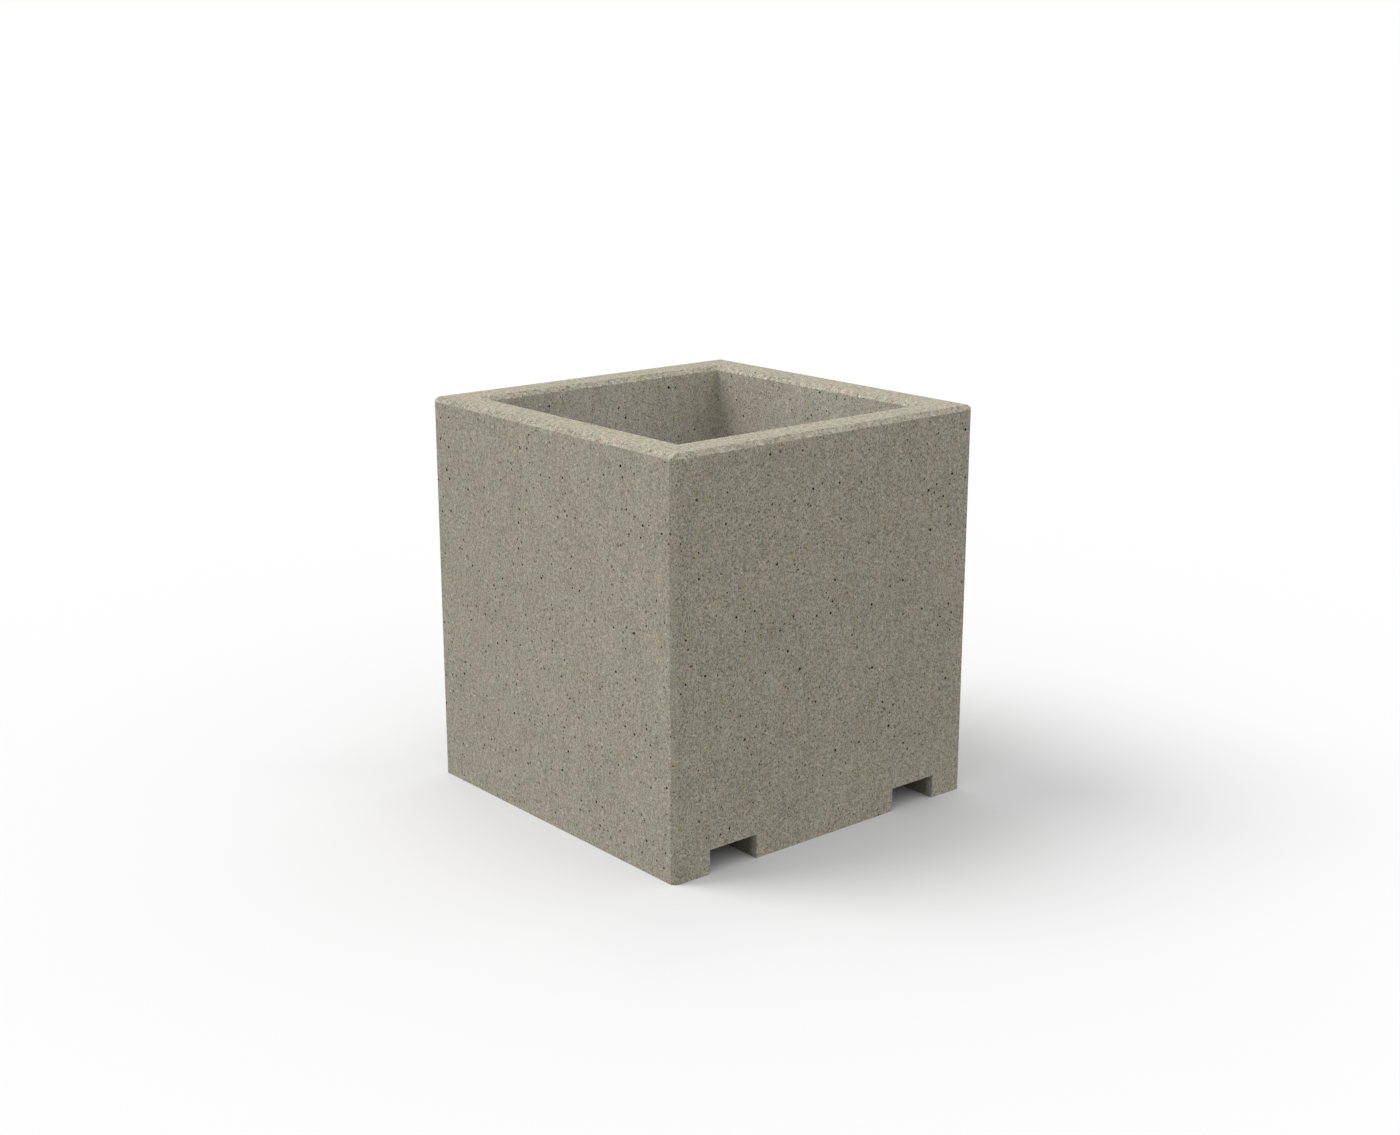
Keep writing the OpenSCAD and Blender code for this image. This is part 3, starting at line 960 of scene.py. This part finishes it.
@dataclass
class ConcreteCasting:
    """The concrete body, cast in one pour."""

    wall: float = 0.1016
    floor_top: float = 0.1524
    chamfer: float = 0.0127
    slot_width: float = 0.1524
    slot_height: float = 0.0635
    slot_inset: float = 0.1143
    cast_gap: float = 0.0002
    arris: float = 0.0008
    over: float = 0.01
    foot_depth: float = 0.004
    holes: BlowHoles = field(default_factory=BlowHoles)
    low: Vector = field(default_factory=lambda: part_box("concrete_shell")[0])
    high: Vector = field(default_factory=lambda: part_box("concrete_shell")[1])

    def block(self) -> bpy.types.Object:
        """The solid block with its outer chamfers, mitred where they meet."""
        block = add_box("concrete_casting", self.low, self.high)
        for x in (-1.0, 1.0):
            for y in (-1.0, 1.0):
                corner = Vector((x * (self.high.x - self.chamfer), y * self.high.y, 0.0))
                slice_off(block, corner, Vector((x, y, 0.0)))
        for side in (Vector((1, 0, 0)), Vector((-1, 0, 0)), Vector((0, 1, 0)), Vector((0, -1, 0))):
            edge = side * self.high.x + Vector((0.0, 0.0, self.high.z - self.chamfer))
            slice_off(block, edge, side + Vector((0.0, 0.0, 1.0)))
        return block

    def cavity(self) -> bpy.types.Object:
        """The shape of the planting cavity, opening out at the chamfer round the inside of the rim."""
        reach = Vector((self.wall, self.wall, 0.0))
        straight = self.high.z - self.chamfer
        low = Vector((self.low.x, self.low.y, self.floor_top)) + reach
        core = add_box("core", low, Vector((self.high.x, self.high.y, straight)) - reach)
        in_edit_mode(core, lambda face: face.normal.z > 0.9)
        rise = self.chamfer + self.over
        bpy.ops.mesh.extrude_region_move(TRANSFORM_OT_translate={"value": (0.0, 0.0, rise)})
        half = self.high.x - self.wall
        widen = (half + rise) / half
        bpy.ops.transform.resize(value=(widen, widen, 1.0), center_override=(0.0, 0.0, 0.0))
        bpy.ops.object.mode_set(mode="OBJECT")
        return core

    def slot(self, side: float) -> bpy.types.Object:
        """The shape of one fork slot.

        Args:
            side: -1 for the slot on the left, 1 for the one on the right.

        Returns:
            A box through the whole depth.
        """
        outer = side * (self.high.x - self.slot_inset)
        inner = side * (self.high.x - self.slot_inset - self.slot_width)
        low = Vector((min(outer, inner), self.low.y - self.over, self.low.z - self.over))
        high = Vector((max(outer, inner), self.high.y + self.over, self.slot_height))
        return add_box("slot", low, high)

    def ease_arrises(self, casting: bpy.types.Object) -> None:
        """Rounds every edge a little, as a form's joint leaves it.

        Args:
            casting: The concrete.
        """
        only(casting)
        modifier = casting.modifiers.new("arris", "BEVEL")
        modifier.width = self.arris
        modifier.segments = 2
        modifier.limit_method = "ANGLE"
        modifier.angle_limit = math.radians(30.0)
        bpy.ops.object.modifier_apply(modifier=modifier.name)

    def pockets(self) -> list[bpy.types.Object]:
        """The shapes of the room left round pipes, ferrules and the feet of the chairs."""
        shapes = []
        for name in Role.SLEEVE.nodes():
            low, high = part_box(name)
            radius = (high.x - low.x) / 2 + self.cast_gap
            shapes.append(add_post("drain", (low + high) / 2, radius, low.z - self.over, high.z + self.over))
        for low, high in islands("insert_ferrules"):
            radius = (high.x - low.x) / 2 + self.cast_gap
            shapes.append(add_post("pocket", (low + high) / 2, radius, -self.over, high.z + self.cast_gap))
        for low, high in islands("bar_chairs"):
            radius = (high.x - low.x) / 2 + self.cast_gap
            bottom = high.z - self.foot_depth - self.cast_gap
            shapes.append(add_post("foot", (low + high) / 2, radius, bottom, high.z + self.over))
        return shapes

    def panels(self) -> list[Panel]:
        """The formed faces that have blow holes."""
        found = []
        half = self.high.x
        inner = half - self.wall
        straight = self.high.z - self.chamfer
        for step in range(4):
            turn = Matrix.Rotation(math.radians(90.0 * step), 3, "Z")
            foot = self.chamfer + (0.0 if step % 2 else self.slot_height)
            low = Vector((-half + self.chamfer, -half, foot))
            along = Vector((2 * half - 2 * self.chamfer, 0.0, 0.0))
            up = Vector((0.0, 0.0, straight - foot))
            face = Vector((0.0, -1.0, 0.0))
            found.append(Panel(turn @ low, turn @ along, up, turn @ face, Ground.OUTER_WALL))
            low = Vector((-inner + self.chamfer, inner, self.floor_top + self.chamfer))
            along = Vector((2 * inner - 2 * self.chamfer, 0.0, 0.0))
            up = Vector((0.0, 0.0, straight - low.z))
            found.append(Panel(turn @ low, turn @ along, up, turn @ face, Ground.INNER_WALL))
        for side in (-1.0, 1.0):
            inside = half - self.slot_inset - self.slot_width
            for x, look in ((half - self.slot_inset, -1.0), (inside, 1.0)):
                low = Vector((side * x, -half + self.chamfer, self.chamfer))
                along = Vector((0.0, 2 * half - 2 * self.chamfer, 0.0))
                up = Vector((0.0, 0.0, self.slot_height - 2 * self.chamfer))
                face = Vector((side * look, 0.0, 0.0))
                found.append(Panel(low, along, up, face, Ground.SLOT_WALL))
        return found

    def build(self, skin: bpy.types.Material, hole_shade: bpy.types.Material) -> bpy.types.Object:
        """Models the casting and dresses it.

        Args:
            skin: The finish of the formed faces.
            hole_shade: The finish of the inside of a blow hole.

        Returns:
            The finished concrete.
        """
        casting = self.block()
        casting.data.materials.append(skin)
        for cutter in (self.cavity(), self.slot(-1.0), self.slot(1.0)):
            cutter.data.materials.append(skin)
            carve(casting, cutter)
        self.ease_arrises(casting)
        pockets = join(self.pockets(), "pockets")
        pockets.data.materials.append(skin)
        carve(casting, pockets)
        near_face = points_of("wheel_spacers")
        carve(casting, self.holes.cutter(self.panels(), near_face, hole_shade))
        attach(casting, "root")
        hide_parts("concrete_shell")
        return casting


def points_of(name: str) -> KDTree:
    """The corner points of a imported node, ready for a nearest search.

    Args:
        name: The node's name.

    Returns:
        The search tree.
    """
    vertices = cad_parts[name].data.vertices
    tree = KDTree(len(vertices))
    for index, vertex in enumerate(vertices):
        tree.insert(vertex.co, index)
    tree.balance()
    return tree


def islands(name: str, apart: float = 0.05) -> list[tuple[Vector, Vector]]:
    """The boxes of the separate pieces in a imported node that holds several.

    Args:
        name: The node's name.
        apart: Pieces whose middles are closer than this in plan are one.

    Returns:
        The lowest and highest corner of each piece.
    """
    boxes: list[tuple[Vector, Vector]] = []
    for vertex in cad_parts[name].data.vertices:
        point = vertex.co
        for low, high in boxes:
            if (point.xy - ((low + high) / 2).xy).length < apart:
                for axis in range(3):
                    low[axis] = min(low[axis], point[axis])
                    high[axis] = max(high[axis], point[axis])
                break
        else:
            boxes.append((point.copy(), point.copy()))
    return boxes


# ---- pieces cast in ----------------------------------------------------------------------------


@dataclass
class CastInPieces:
    """The bars, wire, spacers, pipes and inserts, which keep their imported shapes."""

    bars: BarFinish = BarFinish()
    wire: WireFinish = WireFinish()
    pipe: PlasticFinish = PlasticFinish("drain pipe plastic", (0.72, 0.72, 0.69), dust_share=0.3)
    spacer: PlasticFinish = PlasticFinish("spacer plastic", (0.20, 0.21, 0.225), roughness=0.5)
    zinc: ZincFinish = ZincFinish()

    def dress(self, effects: Effects) -> None:
        """Gives every piece its finish.

        Args:
            effects: The shared node groups.
        """
        finishes = {
            Role.BAR: self.bars,
            Role.WIRE: self.wire,
            Role.SLEEVE: self.pipe,
            Role.SPACER: self.spacer,
            Role.INSERT: self.zinc,
        }
        for role, finish in finishes.items():
            material = finish.material(effects)
            for name in role.nodes():
                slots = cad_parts[name].data.materials
                slots.clear()
                slots.append(material)
                log.info("%s: %s", name, finish.name)


# ---- studio ------------------------------------------------------------------------------------


@dataclass
class Studio:
    """A pale floor, soft light from all round, a key light, a weak fill in the cavity and the camera."""

    sky: Colour = (0.875, 0.868, 0.87)
    bounce: float = 0.26
    key: Vector = field(default_factory=lambda: Vector((-0.2, 0.19, 0.345)))
    key_tint: Colour = (1.03, 1.0, 1.0)
    key_width: float = 34.0
    key_distance: float = 8.0
    fill_drop: float = 0.2
    fill_radius: float = 0.12
    fill_power: float = 0.88
    fill_tint: Colour = (0.93, 1.0, 1.4)
    floor_near_shade: Colour = (0.769, 0.78, 0.785)
    floor_far: Colour = (0.815, 0.825, 0.828)
    floor_under_shade: Colour = (0.1, 0.1, 0.1)
    floor_size: float = 60.0
    floor_drop: float = 0.0002
    near_reach: float = 0.5
    fade_start: float = 2.0
    fade_end: float = 7.0
    azimuth: float = -40.0
    elevation: float = 15.0
    distance: float = 5.252
    aim_height: float = 0.610
    lens: float = 50.0

    def world(self) -> None:
        """White behind the object, and an even grey light from all round."""
        world = bpy.data.worlds.new("studio")
        world.use_nodes = True
        world.node_tree.nodes.clear()
        graph = Graph(world.node_tree)
        seen = graph.node("ShaderNodeLightPath").outputs["Is Camera Ray"]
        white = graph.node("ShaderNodeBackground", {"Color": (1.0, 1.0, 1.0), "Strength": 1.0})
        soft = graph.node("ShaderNodeBackground", {"Color": self.sky, "Strength": 1.0})
        feeds: Feeds = {0: seen, 1: soft.outputs[0], 2: white.outputs[0]}
        both = graph.node("ShaderNodeMixShader", feeds)
        graph.node("ShaderNodeOutputWorld", {"Surface": both.outputs[0]})
        bpy.context.scene.world = world

    def floor(self) -> None:
        """A pale floor, darker close to the object as a painted shadow; to rays that aren't the camera's it
        glows evenly beside the object as painted bounce light and is near black under it as painted shade.
        """
        bpy.ops.object.select_all(action="DESELECT")
        bpy.ops.mesh.primitive_plane_add(size=self.floor_size, location=(0.0, 0.0, -self.floor_drop))
        floor = settle("studio_floor")
        material = bpy.data.materials.new("studio floor")
        material.use_nodes = True
        material.node_tree.nodes.clear()
        graph = Graph(material.node_tree)
        place = graph.node("ShaderNodeTexCoord").outputs["Object"]
        axes = graph.node("ShaderNodeSeparateXYZ", {0: place})
        far = graph.math("MAXIMUM", *(graph.math("ABSOLUTE", axes.outputs[axis]) for axis in ("X", "Y")))
        edge = CAD_BOX[1][0]
        beside = graph.math("GREATER_THAN", far, edge)
        seen = graph.node("ShaderNodeLightPath").outputs["Is Camera Ray"]
        # Painted shadow: for the camera the floor is darker close to the object and pales out over
        # near_reach.
        pale = graph.mix(graph.ramp(far, edge, edge + self.near_reach), self.floor_near_shade, self.floor_far)
        # Painted shade: to rays that aren't the camera's, the floor under the object is near black.
        lit = graph.node("ShaderNodeBsdfDiffuse", {"Color": graph.mix(seen, self.floor_under_shade, pale)})
        # Painted bounce light: beside the object the floor glows evenly for rays that aren't the camera's.
        even = graph.node("ShaderNodeEmission", {"Color": (1.0, 1.0, 1.0), "Strength": self.bounce})
        unseen = graph.math("MULTIPLY", graph.math("SUBTRACT", 1.0, seen), beside)
        near = graph.node("ShaderNodeMixShader", {0: unseen, 1: lit.outputs[0], 2: even.outputs[0]})
        reach = graph.node("ShaderNodeVectorMath", {0: place}, operation="LENGTH").outputs["Value"]
        fade = graph.math("MULTIPLY", graph.ramp(reach, self.fade_start, self.fade_end), seen)
        white = graph.node("ShaderNodeEmission", {"Color": (1.0, 1.0, 1.0), "Strength": 1.0})
        both = graph.node("ShaderNodeMixShader", {0: fade, 1: near.outputs[0], 2: white.outputs[0]})
        graph.node("ShaderNodeOutputMaterial", {"Surface": both.outputs[0]})
        material.cycles.emission_sampling = "NONE"
        floor.data.materials.append(material)

    def key_light(self) -> None:
        """A soft light high at the back left."""
        bpy.ops.object.light_add(type="SUN", location=self.key * self.key_distance)
        lamp = bpy.context.object
        lamp.name = "key_light"
        lamp.rotation_euler = self.key.to_track_quat("Z", "Y").to_euler()
        lamp.data.energy = self.key.length * math.pi
        lamp.data.angle = math.radians(self.key_width)
        lamp.data.color = self.key_tint

    def cavity_fill(self) -> None:
        """A weak round light in the cavity that lifts the upper part of its walls."""
        bpy.ops.object.light_add(type="POINT", location=(0.0, 0.0, CAD_BOX[1][2] - self.fill_drop))
        lamp = bpy.context.object
        lamp.name = "cavity_fill"
        lamp.data.shadow_soft_size = self.fill_radius
        lamp.data.energy = self.fill_power
        lamp.data.color = self.fill_tint
        lamp.visible_camera = False

    def camera(self) -> None:
        """A camera at eye height, looking a little down at the front left corner."""
        turn, tilt = math.radians(self.azimuth), math.radians(self.elevation)
        way = Vector((math.sin(turn) * math.cos(tilt), -math.cos(turn) * math.cos(tilt), math.sin(tilt)))
        target = Vector((0.0, 0.0, self.aim_height))
        bpy.ops.object.camera_add(location=target + way * self.distance)
        camera = bpy.context.object
        camera.rotation_euler = way.to_track_quat("Z", "Y").to_euler()
        camera.data.lens = self.lens
        camera.data.sensor_width = 36.0
        bpy.context.scene.camera = camera

    def build(self) -> None:
        """Sets up everything that isn't the object."""
        self.world()
        self.floor()
        self.key_light()
        self.cavity_fill()
        self.camera()
        bpy.context.scene.view_settings.view_transform = "Standard"


def main() -> None:
    """Builds and dresses the whole planter."""
    logging.basicConfig(level=logging.INFO, format="%(name)s: %(message)s")
    effects = Effects()
    Studio().build()
    skin = ConcreteFinish()
    # The inside of each blow hole is near black: painted shade in the hole.
    hole_shade = ConcreteFinish("blow hole painted shade", shade=0.16, grain=Grain(330.0, 0.2), mottle=Grain(110.0, 0.1))
    casting = ConcreteCasting().build(skin.material(effects), hole_shade.material(effects))
    log.info("%s: %d faces", casting.name, len(casting.data.polygons))
    CastInPieces().dress(effects)


if __name__ == "__main__":
    main()
